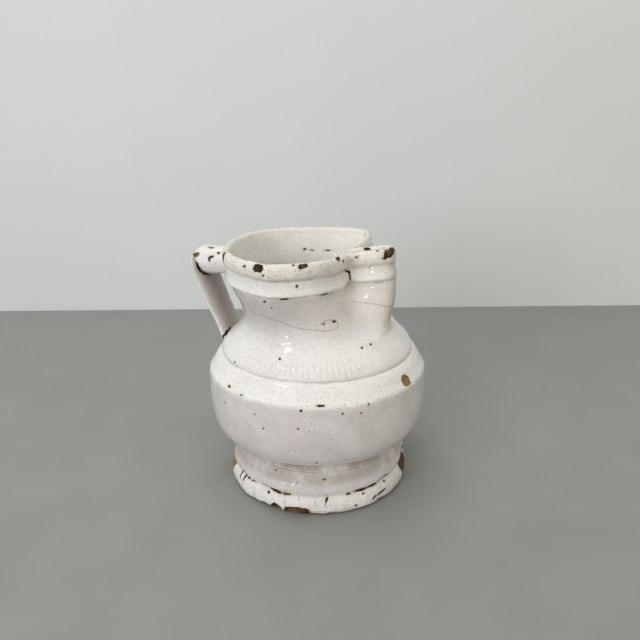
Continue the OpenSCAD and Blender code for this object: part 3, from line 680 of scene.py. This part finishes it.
def neck_fields(grid, chip, tone):
    z = grid[..., 2]
    on_outside = outside & (z > 0)
    level = z - rise
    # The neck below the collar is thin glaze, greyed further as painted shade under the collar's
    # overhang
    thin_and_shade = on_outside * (1.1 * smooth((z - 116) / 25) * smooth((157 - z) / 3)
                         + 0.5 * smooth((level - RIM_Z + 11) / 3))
    dirt_and_shade = on_outside * (0.8 * bump_at(level, COLLAR_Z - 1.4, 0.6)
                         + 0.5 * bump_at(level, RIM_Z - 11.4, 0.8)
                         + 0.35 * pressed)
    dirt_and_shade = dirt_and_shade * smooth(0.62 + 0.55 * noise(grid, 8, 93) + 0.3 * noise(grid, 2.5, 94))
    # painted shade: the spout's end is darkened on the flank that faces away from the light
    dirt_and_shade += on_outside * 0.36 * np.exp(-((column_at - TIP_I - 0.4) / 1.4) ** 2) * smooth((z - 126) / 9)
    yellowed = 0.75 * spout_share * smooth((z - 124) / 12)
    cream = np.where(on_outside, np.maximum(yellowed, 0.85 * smooth((z - 165) / 9)), 0.5)
    handled = 0.25 + 0.75 * smooth(0.4 + 0.8 * (grid @ FRONT) / RIM_R)
    worn = on_outside * smooth((level - RIM_Z + 9.5) / 3) * smooth(0.85 + 0.7 * noise(grid, 15, 96))
    worn = worn * handled * (1 - 0.8 * spout_share)
    return fields_of(grid, chip, tone, thin_and_shade, dirt_and_shade, cream, worn)


# ---------- materials ----------


class Shader:
    """A small language for procedural materials: each call adds a node and returns its output"""

    def __init__(self, name):
        self.material = bpy.data.materials.new(name)
        self.material.use_nodes = True
        self.tree = self.material.node_tree
        self.bsdf = self.tree.nodes["Principled BSDF"]
        coordinates = self.tree.nodes.new("ShaderNodeTexCoord")
        self.place = coordinates.outputs["Object"]

    def feed(self, socket, value):
        if isinstance(value, bpy.types.NodeSocket):
            self.tree.links.new(value, socket)
        else:
            socket.default_value = value

    def field(self, name):
        attribute = self.tree.nodes.new("ShaderNodeAttribute")
        attribute.attribute_name = name
        return attribute.outputs["Fac"]

    def math(self, operation, a, b=0.0, clamp=False):
        new = self.tree.nodes.new("ShaderNodeMath")
        new.operation = operation
        new.use_clamp = clamp
        self.feed(new.inputs[0], a)
        self.feed(new.inputs[1], b)
        return new.outputs[0]

    def noise(self, size_mm, detail=2.0, roughness=0.5, stretch=None):
        new = self.tree.nodes.new("ShaderNodeTexNoise")
        new.inputs["Scale"].default_value = 1 / (size_mm * MM)
        new.inputs["Detail"].default_value = detail
        new.inputs["Roughness"].default_value = roughness
        place = self.place
        if stretch:
            scale = self.tree.nodes.new("ShaderNodeVectorMath")
            scale.operation = "MULTIPLY"
            self.tree.links.new(place, scale.inputs[0])
            scale.inputs[1].default_value = stretch
            place = scale.outputs[0]
        self.tree.links.new(place, new.inputs["Vector"])
        return new.outputs["Fac"]

    def cells(self, size_mm):
        """Distance to the nearest of scattered points, as a share of their spacing, and a
        random number for each"""
        new = self.tree.nodes.new("ShaderNodeTexVoronoi")
        new.inputs["Scale"].default_value = 1 / (size_mm * MM)
        self.tree.links.new(self.place, new.inputs["Vector"])
        split = self.tree.nodes.new("ShaderNodeSeparateColor")
        self.tree.links.new(new.outputs["Color"], split.inputs[0])
        return new.outputs["Distance"], split.outputs[0], split.outputs[1]

    def ramp(self, value, low, high, to_low=0.0, to_high=1.0):
        new = self.tree.nodes.new("ShaderNodeMapRange")
        new.interpolation_type = "SMOOTHSTEP"
        self.feed(new.inputs["Value"], value)
        new.inputs["From Min"].default_value = low
        new.inputs["From Max"].default_value = high
        new.inputs["To Min"].default_value = to_low
        new.inputs["To Max"].default_value = to_high
        return new.outputs["Result"]

    def mix(self, share, a, b, blend="MIX"):
        new = self.tree.nodes.new("ShaderNodeMix")
        new.data_type = "RGBA"
        new.blend_type = blend
        self.feed(new.inputs["Factor"], share)
        self.feed(new.inputs[6], a if isinstance(a, bpy.types.NodeSocket) else (*a, 1))
        self.feed(new.inputs[7], b if isinstance(b, bpy.types.NodeSocket) else (*b, 1))
        return new.outputs[2]

    def bump(self, height, strength, distance_mm, normal=None):
        new = self.tree.nodes.new("ShaderNodeBump")
        self.feed(new.inputs["Strength"], strength)
        new.inputs["Distance"].default_value = distance_mm * MM
        self.tree.links.new(height, new.inputs["Height"])
        if normal:
            self.tree.links.new(normal, new.inputs["Normal"])
        return new.outputs["Normal"]


WHITE = (0.86, 0.845, 0.815)
THIN_AND_SHADED_GREY = (0.63, 0.585, 0.575)
CREAM = (0.80, 0.765, 0.66)
PINK = (0.74, 0.66, 0.65)
MOTTLE = (0.52, 0.48, 0.45)
FINE_SPECK = (0.22, 0.17, 0.14)
IRON_SPECK = (0.09, 0.06, 0.045)
WORN_SPECK = (0.26, 0.13, 0.085)
SCRATCH_DIRT = (0.25, 0.20, 0.17)
DIRT_AND_SHADE = (0.23, 0.17, 0.11)
BLOOM = (0.55, 0.42, 0.30)
CLAY_SMEAR = (0.62, 0.56, 0.48)
BURNT = (0.024, 0.012, 0.006)
BROWN = (0.13, 0.075, 0.026)
TAN = (0.36, 0.235, 0.10)


def clay_colour(s, tone):
    grain = s.noise(1.1, 4, 0.65)
    patches = s.noise(4.5, 2)
    lightness = s.math("ADD", tone, s.ramp(patches, 0.3, 0.7, -0.16, 0.16))
    colour = s.mix(s.ramp(lightness, 0.05, 0.5), BURNT, BROWN)
    colour = s.mix(s.ramp(lightness, 0.45, 1.0), colour, TAN)
    return s.mix(s.ramp(grain, 0.42, 0.7, 0, 0.4), colour, BURNT), grain


def glaze_material(name):
    s = Shader(name)
    chip = s.field("chip")
    edge = s.math("ADD", chip, s.ramp(s.noise(0.9, 3, 0.6), 0.3, 0.7, -0.22, 0.22))
    bare = s.ramp(edge, -0.05, 0.07)
    # glaze: thick and white, or thin so that the clay's pink and grey come through; that grey is also
    # painted shade under the belly and the collar, in the flutes' hollows and on the strap's inner
    # face
    cloud = s.noise(17, 3)
    thin_and_shade = s.math("MULTIPLY", s.field("thin_and_shade"), s.ramp(cloud, 0.25, 0.75, 0.55, 1.0), clamp=True)
    colour = s.mix(thin_and_shade, WHITE, THIN_AND_SHADED_GREY)
    cream = s.math("MULTIPLY", s.field("cream"), s.ramp(s.noise(11, 2), 0.25, 0.7, 0.45, 1.0))
    colour = s.mix(cream, colour, CREAM)
    pink = s.ramp(s.noise(26, 2), 0.5, 0.75, 0, 0.35)
    colour = s.mix(pink, colour, PINK)
    mottle = s.ramp(s.noise(1.9, 3, 0.7), 0.4, 0.7, 0, 0.34)
    colour = s.mix(mottle, colour, MOTTLE)
    # pinholes and iron specks, most of them tiny
    far, pick, size = s.cells(2.2)
    kept = s.ramp(pick, 0.7, 0.72)
    speck = s.math("MULTIPLY", kept, s.ramp(s.math("SUBTRACT", far, s.math(
        "MULTIPLY", size, 0.1)), 0.06, 0.2, 1, 0))
    colour = s.mix(s.math("MULTIPLY", speck, 0.5), colour, FINE_SPECK)
    far, pick, size = s.cells(6)
    kept = s.ramp(pick, 0.62, 0.64)
    speck = s.math("MULTIPLY", kept, s.ramp(s.math("SUBTRACT", far, s.math(
        "MULTIPLY", size, 0.05)), 0.015, 0.06, 1, 0))
    colour = s.mix(s.math("MULTIPLY", speck, 0.7), colour, IRON_SPECK)
    # worn edges show fine red-brown specks, and scratches hold a little dirt
    far, pick, size = s.cells(1.3)
    kept = s.ramp(s.math("SUBTRACT", s.math("MULTIPLY", s.field("worn"), 0.7), pick), 0, 0.04)
    speck = s.math("MULTIPLY", kept, s.ramp(s.math("SUBTRACT", far, s.math(
        "MULTIPLY", size, 0.25)), 0.06, 0.24, 1, 0))
    colour = s.mix(s.math("MULTIPLY", speck, 0.8), colour, WORN_SPECK)
    scratch = s.ramp(s.field("scratch"), 0.35, 0.8, 0, 0.5)
    colour = s.mix(scratch, colour, SCRATCH_DIRT)
    # brown dirt, and painted shade in the cove under the belly, on the spout's far flank and on the
    # strap's inner face
    dirt_and_shade = s.field("dirt_and_shade")
    colour = s.mix(s.math("MULTIPLY", dirt_and_shade, 0.8, clamp=True), colour, DIRT_AND_SHADE)
    # a faint brown bloom where the glaze thins to the edge of a chip
    bloom = s.ramp(edge, -1.1, -0.05, 0, 0.4)
    colour = s.mix(bloom, colour, BLOOM)
    clay, grain = clay_colour(s, s.field("tone"))
    outline = s.math("MULTIPLY", s.ramp(edge, 0.5, 1.5, 0.92, 0),
                     s.ramp(s.field("tone"), 0.4, 1, 1, 0.45))
    clay = s.mix(outline, clay, BURNT)
    s.feed(s.bsdf.inputs["Base Color"], s.mix(bare, colour, clay))
    gloss = s.ramp(s.noise(6, 3), 0.3, 0.7, 0.035, 0.08)
    gloss = s.math("ADD", gloss, s.math("MULTIPLY", dirt_and_shade, 0.3))
    rough = s.math("ADD", s.math("MULTIPLY", gloss, s.math("SUBTRACT", 1, bare)),
                   s.math("MULTIPLY", bare, 0.82), clamp=True)
    s.feed(s.bsdf.inputs["Roughness"], rough)
    soft = s.bump(s.noise(5.5, 3), 0.16, 0.2)
    fine = s.bump(s.noise(1.3, 2), 0.08, 0.06, soft)
    rough_clay = s.bump(grain, s.math("MULTIPLY", bare, 0.7), 0.4, fine)
    s.tree.links.new(rough_clay, s.bsdf.inputs["Normal"])
    s.bsdf.inputs["IOR"].default_value = 1.52
    return s.material


def clay_material(name):
    s = Shader(name)
    patches = s.ramp(s.noise(21, 3), 0.3, 0.7, 0.55, 0.95)
    colour, grain = clay_colour(s, patches)
    smears = s.ramp(s.noise(16, 4, 0.6), 0.56, 0.64)
    colour = s.mix(s.math("MULTIPLY", smears, 0.55), colour, CLAY_SMEAR)
    s.feed(s.bsdf.inputs["Base Color"], colour)
    s.feed(s.bsdf.inputs["Roughness"], s.ramp(grain, 0.3, 0.7, 0.74, 0.92))
    coarse = s.bump(s.noise(3.5, 4, 0.6), 0.5, 0.5)
    s.tree.links.new(s.bump(grain, 0.6, 0.3, coarse), s.bsdf.inputs["Normal"])
    return s.material


glaze = glaze_material("tin_glaze")
clay = clay_material("bare_clay")

# ---------- meshes ----------


def add_skin(name, grid, normals, fields, material, nodes, first_cap=False, last_cap=False):
    """One Blender piece from a grid of points in millimetres, closed round its columns"""
    rows, columns = grid.shape[:2]
    points = grid.reshape(-1, 3)
    vectors = normals.reshape(-1, 3)
    values = {key: np.broadcast_to(f, (rows, columns)).reshape(-1) for key, f in fields.items()}
    i = np.arange(columns)
    following = (i + 1) % columns
    base_of = (np.arange(rows - 1) * columns)[:, None]
    quads = np.stack([base_of + i, base_of + following, base_of + columns + following,
                      base_of + columns + i], -1).reshape(-1, 4)
    triangles = np.zeros((0, 3), int)
    for wanted, row, flip in ((first_cap, 0, True), (last_cap, rows - 1, False)):
        if not wanted:
            continue
        ring = row * columns + i
        ring_next = row * columns + following
        pole = np.full(columns, len(points))
        points = np.concatenate([points, points[ring].mean(0, keepdims=True)])
        vectors = np.concatenate([vectors, unit(vectors[ring].mean(0, keepdims=True))])
        values = {key: np.concatenate([f, [f[ring].mean()]]) for key, f in values.items()}
        fan = [ring_next, ring, pole] if flip else [ring, ring_next, pole]
        triangles = np.concatenate([triangles, np.stack(fan, -1)])
    mesh = bpy.data.meshes.new(name)
    mesh.vertices.add(len(points))
    mesh.vertices.foreach_set("co", (points * MM).astype(np.float32).ravel())
    corners = np.concatenate([quads.ravel(), triangles.ravel()]).astype(np.int32)
    sizes = np.concatenate([np.full(len(quads), 4), np.full(len(triangles), 3)])
    starts = np.concatenate([[0], np.cumsum(sizes)[:-1]]).astype(np.int32)
    mesh.loops.add(len(corners))
    mesh.loops.foreach_set("vertex_index", corners)
    mesh.polygons.add(len(sizes))
    mesh.polygons.foreach_set("loop_start", starts)
    mesh.polygons.foreach_set("use_smooth", np.ones(len(sizes), bool))
    mesh.update(calc_edges=True)
    mesh.validate()
    mesh.normals_split_custom_set_from_vertices(vectors.astype(np.float32))
    for key, f in values.items():
        attribute = mesh.attributes.new(key, "FLOAT", "POINT")
        attribute.data.foreach_set("value", f.astype(np.float32))
    mesh.materials.append(material)
    piece = bpy.data.objects.new(name, mesh)
    bpy.context.scene.collection.objects.link(piece)
    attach(piece, "root")
    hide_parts(*nodes)
    return piece


def cut(fields, first, last):
    return {key: f[first:last] for key, f in fields.items()}


normals = grid_normals(body)
fields = body_fields(body, body_chip, body_tone)
for name, first, last, nodes in (
        ("foot_skin", 0, waist_row + 1, ["foot_glaze"]),
        ("belly_skin", waist_row, step_row + 1, ["belly", "belly_glaze"]),
        ("shoulder_skin", step_row, len(body), ["shoulder", "shoulder_glaze"])):
    add_skin(name, body[first:last], normals[first:last], cut(fields, first, last),
             glaze, nodes)

normals = grid_normals(neck_all)
fields = neck_fields(neck_all, neck_chip, neck_tone)
add_skin("neck_skin", neck_all[:lip_row + 1], normals[:lip_row + 1], cut(fields, 0, lip_row + 1),
         glaze, ["neck", "neck_glaze"])
add_skin("inner_skin", neck_all[lip_row:], normals[lip_row:], cut(fields, lip_row, None),
         glaze, ["lining_glaze"], last_cap=True)

# The strap's inner face is thinly glazed and brown with dirt, and painted darker still as shade, most
# of all along its middle
handle_out = placed(np.array([-1.0, 0, 0])) - placed(np.zeros(3))
handle_side = placed(np.array([0, 1.0, 0])) - placed(np.zeros(3))
strap_across = ((strap - strap.mean(1, keepdims=True)) @ handle_side) / (STRAP_W / 2)
facing_in = smooth(0.3 - 1.6 * (grid_normals(strap) @ handle_out))
strap_dirt_and_shade = facing_in * (0.3 + 0.4 * bump_at(strap_across, -0.05, 0.5))
strap_fields = fields_of(strap, strap_chip, strap_tone, 0.1 + 0.9 * facing_in, strap_dirt_and_shade)
add_skin("strap_skin", strap, grid_normals(strap), strap_fields, glaze,
         ["handle_strap", "strap_glaze"], last_cap=True)
lug_fields = fields_of(lug, lug_chip, lug_tone, 0.15, 0, 0.5 * smooth((lug[..., 2] - 168) / 5))
add_skin("lug_skin", lug, grid_normals(lug), lug_fields, glaze,
         ["handle_lug", "lug_glaze"], last_cap=True)
add_skin("base_skin", base, grid_normals(base), {}, clay, ["foot"], first_cap=True)

# ---------- the room: a plain pale floor and wall, and soft light ----------

VIEW_TURN = np.radians(20)
RIGHT = Vector((np.cos(VIEW_TURN), np.sin(VIEW_TURN), 0))
AWAY = Vector((-np.sin(VIEW_TURN), np.cos(VIEW_TURN), 0))
UP = Vector((0, 0, 1))


def room_point(right, away, up):
    return RIGHT * right + AWAY * away + UP * up


def room_material(name, colour, roughness, texture_mm, contrast):
    s = Shader(name)
    cloud = s.ramp(s.noise(texture_mm, 4), 0.3, 0.7, 0, contrast)
    s.feed(s.bsdf.inputs["Base Color"], s.mix(cloud, colour, tuple(0.82 * c for c in colour)))
    s.bsdf.inputs["Roughness"].default_value = roughness
    return s.material


def add_sheet(name, corners, material):
    mesh = bpy.data.meshes.new(name)
    mesh.from_pydata([tuple(c) for c in corners], [], [(0, 1, 2, 3)])
    mesh.materials.append(material)
    sheet = bpy.data.objects.new(name, mesh)
    bpy.context.scene.collection.objects.link(sheet)
    return sheet


WALL_AWAY, WALL_HEIGHT, ROOM_HALF = 0.386, 2.2, 2.5
# The floor lies a hair under the foot, so that the two don't share a plane
FLOOR_LEVEL = -0.0002
floor_paint = room_material("floor_paint", (0.30, 0.30, 0.285), 0.55, 60, 0.35)
wall_paint = room_material("wall_paint", (0.75, 0.775, 0.77), 0.9, 300, 0.2)
add_sheet("floor", [room_point(*p) for p in (
    (-ROOM_HALF, -ROOM_HALF, FLOOR_LEVEL), (ROOM_HALF, -ROOM_HALF, FLOOR_LEVEL),
    (ROOM_HALF, WALL_AWAY, FLOOR_LEVEL), (-ROOM_HALF, WALL_AWAY, FLOOR_LEVEL))], floor_paint)
add_sheet("wall", [room_point(*p) for p in (
    (-ROOM_HALF, WALL_AWAY, FLOOR_LEVEL), (ROOM_HALF, WALL_AWAY, FLOOR_LEVEL),
    (ROOM_HALF, WALL_AWAY, WALL_HEIGHT), (-ROOM_HALF, WALL_AWAY, WALL_HEIGHT))], wall_paint)


def add_light(name, place, target, size, power, colour=(1, 1, 1), mirrored=True):
    data = bpy.data.lights.new(name, "AREA")
    data.shape = "RECTANGLE"
    data.size, data.size_y = size
    data.energy = power
    data.color = colour
    light = bpy.data.objects.new(name, data)
    light.location = room_point(*place)
    light.rotation_mode = "QUATERNION"
    light.rotation_quaternion = (room_point(*target) - light.location).to_track_quat("-Z", "Y")
    light.visible_glossy = mirrored
    bpy.context.scene.collection.objects.link(light)
    return light


# Broad soft lights, which leave no reflections of their own, and small lamps for the highlights
add_light("overhead", (-0.2, -0.25, 1.7), (0, 0, 0.1), (1.4, 1.1), 11.2, (1, 0.995, 0.98), False)
add_light("front", (-1.05, -1.7, 0.8), (0, 0, 0.1), (1.3, 1.1), 19.5, (1, 0.99, 1), False)
add_light("right_fill", (1.5, -0.9, 0.45), (0, 0, 0.1), (1.0, 0.8), 4.6, (1, 0.9, 0.7), False)
add_light("lamp", (-0.71, -0.64, 1.18), (0, 0, 0.1), (0.24, 0.07), 0.8)
for name, right in (("window_left", -1.17), ("window_right", -0.87)):
    add_light(name, (right, -1.36, 0.47), (0, 0, 0.15), (0.05, 0.3), 0.6)

world = bpy.data.worlds.new("room_light")
world.use_nodes = True
world.node_tree.nodes["Background"].inputs["Color"].default_value = (0.9, 0.92, 0.91, 1)
world.node_tree.nodes["Background"].inputs["Strength"].default_value = 0.36
bpy.context.scene.world = world
bpy.context.scene.view_settings.view_transform = "Standard"

# ---------- camera ----------

PITCH, ROLL = np.radians(19.97), np.radians(-0.53)
CAMERA_PLACE = (0.0024, -0.418, 0.274)
camera_data = bpy.data.cameras.new("camera")
camera_data.sensor_width = 36
camera_data.lens = 33.75
camera_data.clip_start = 0.01
camera = bpy.data.objects.new("camera", camera_data)
forward = AWAY * np.cos(PITCH) - UP * np.sin(PITCH)
upright = AWAY * np.sin(PITCH) + UP * np.cos(PITCH)
side = RIGHT * np.cos(ROLL) + upright * np.sin(ROLL)
top = upright * np.cos(ROLL) - RIGHT * np.sin(ROLL)
turn = Matrix((side, top, -forward)).transposed().to_4x4()
camera.matrix_world = Matrix.Translation(room_point(*CAMERA_PLACE)) @ turn
bpy.context.scene.collection.objects.link(camera)
bpy.context.scene.camera = camera

bpy.context.view_layer.update()
